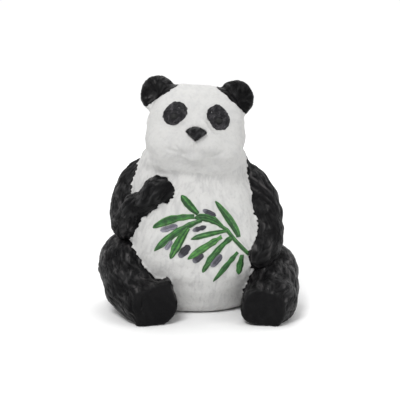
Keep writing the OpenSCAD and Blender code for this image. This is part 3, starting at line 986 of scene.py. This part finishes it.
def brush_strip(line, widths, tone, tree, lift, seed):
    """One closed paint stroke laid on the belly. Returns points, quads and their tones."""
    random = np.random.default_rng(seed)
    rows = len(line)
    heading = np.gradient(line, axis=0)
    heading /= np.linalg.norm(heading, axis=1, keepdims=True)
    sideways = np.stack([-heading[:, 1], heading[:, 0]], -1)
    knots = np.arange(0, rows + 3, 3)
    wobble = 1 + 0.10 * np.interp(np.arange(rows), knots, random.normal(size=len(knots)))
    bristles = random.normal(size=ACROSS)
    top, bottom, tones = [], [], []
    for row in range(rows):
        for a, bristle in zip(np.linspace(-1, 1, ACROSS), bristles):
            place = line[row] + sideways[row] * a * widths[row] * wobble[row]
            start = Vector((place[0] * MM, -0.3, place[1] * MM))
            hit, normal = tree.ray_cast(start, Vector((0, 1, 0)))[:2]
            raised = lift + CROWN * (1 - a * a) + 0.08 * bristle
            top.append(np.array(hit + normal * raised * MM) / MM)
            bottom.append(np.array(hit - normal * SUNK * MM) / MM)
            streak = 0.5 + 0.22 * bristle + 0.08 * random.normal()
            tones.append((abs(a), a, row / (rows - 1), min(max(streak, 0), 1), tone))
    return np.array(top + bottom), strip_quads(rows), tones + tones


def paint_strokes(node, slot, lines):
    """Several strips in one piece."""
    shell_mesh = bpy.data.objects["torso_front_cast"].data
    tree = BVHTree.FromPolygons([v.co for v in shell_mesh.vertices],
                                [p.vertices[:] for p in shell_mesh.polygons])
    points, quads, tones = [], [], []
    for index, (line, widths, tone) in enumerate(lines):
        lift = LIFT + 0.05 * (index % 4)         # so that crossing strokes don't coincide
        made = brush_strip(line, widths, tone, tree, lift, 700 + index)
        quads += [tuple(i + len(points) for i in q) for q in made[1]]
        points += list(made[0])
        tones += made[2]
    across, side, run, streak, tone = np.array(tones).T
    made = make_piece(node + "_paint", points, quads, slot, [node], across=across, side=side,
                      run=run, streak=streak, tone=tone)
    work = bmesh.new()
    work.from_mesh(made.data)
    bmesh.ops.recalc_face_normals(work, faces=work.faces)
    work.to_mesh(made.data)
    work.free()


def leaf_widths(t):
    """Share of a leaf's width along it: fuller up to its middle, then drawn to a point."""
    opening = 0.55 + 0.45 * np.sin(np.clip(t * 1.35, 0, 1) * math.pi / 2)
    point = np.sqrt(np.clip(1 - (np.maximum(t - 0.55, 0) / 0.45) ** 2, 0.02, 1))
    return opening * point


def sprig():
    centre = middle("bamboo_leaves")[0][[0, 2]] + SPRIG_SHIFT
    t = np.linspace(0, 1, LEAF_ROWS)
    leaves = [(bend(a, b, c, t) + centre, leaf_widths(t) * w, 0.5) for a, b, c, w in LEAVES]
    paint_strokes("bamboo_leaves", "leaf_green", leaves)
    knots = np.array(STEM, float) + centre
    where = np.linspace(0, len(STEM) - 1, STEM_ROWS)
    route = np.stack([np.interp(where, range(len(STEM)), knots[:, i]) for i in (0, 1)], -1)
    paint_strokes("bamboo_stem", "stem_green", [(route, np.full(STEM_ROWS, STEM_WIDTH), 0.5)])
    share = np.linspace(-1, 1, DAB_ROWS)
    blunt = np.sqrt(np.clip(1 - share ** 4, 0.03, 1))
    dabs = []
    for (x, z), angle, half_length, half_width, tone in DABS:
        way = np.array([math.cos(math.radians(angle)), math.sin(math.radians(angle))])
        line = np.array([x, z]) + centre + share[:, None] * way * half_length
        dabs.append((line, half_width * blunt, tone))
    paint_strokes("brush_dabs", "dab_grey", dabs)


# ---------------------------------------------------------------- the whole

def all_materials():
    """One material for each slot. Tones are linear."""
    return {
        # The whites' second number is the painted shade in their grooves; the blacks' second tone is
        # the paler one, their painted highlight
        "white_body": white_paint("white_body_paint", 0.62, 0.86),
        "white_head": white_paint("white_head_paint", 0.605, 0.94),
        "black_fur": black_paint("black_fur_paint", (0.003, 0.003, 0.0034), (0.028, 0.0265, 0.027)),
        "nose_black": black_paint("nose_paint", (0.004, 0.004, 0.0047), (0.022, 0.022, 0.024)),
        "eye_patch_black": black_paint("eye_patch_paint", (0.009, 0.009, 0.0105),
                                       (0.030, 0.029, 0.033)),
        "eye_gloss": plain_finish("eye_gloss_paint", (0.0015, 0.0015, 0.0016), 0.65, 0.85, 0.002),
        "leaf_green": leaf_paint("leaf_paint", (0.017, 0.110, 0.024)),
        "stem_green": leaf_paint("stem_paint", (0.030, 0.15, 0.036)),
        "dab_grey": dab_paint(),
        "raw_plaster": plain_finish("raw_plaster", (0.66, 0.63, 0.58), 0.75, 0.95, 0.004),
        "dowel_wood": plain_finish("dowel_wood", (0.50, 0.34, 0.19), 0.55, 0.8, 0.002, (1, 1, 6)),
        "stopper_rubber": plain_finish("stopper_rubber", (0.025, 0.025, 0.026), 0.6, 0.8, 0.0012),
    }


def finish_design_nodes():
    """The nodes that no piece replaces keep their shape and take a plaster, wood or rubber."""
    for part in frame["record"]["subparts"]:
        if part["material_slot"] in ("raw_plaster", "dowel_wood", "stopper_rubber"):
            node = frame["nodes"][part["node"]]
            node.data.materials.clear()
            node.data.materials.append(MATERIALS[part["material_slot"]])


camera()
studio()
MATERIALS = all_materials()
castings()
face()
sprig()
finish_design_nodes()
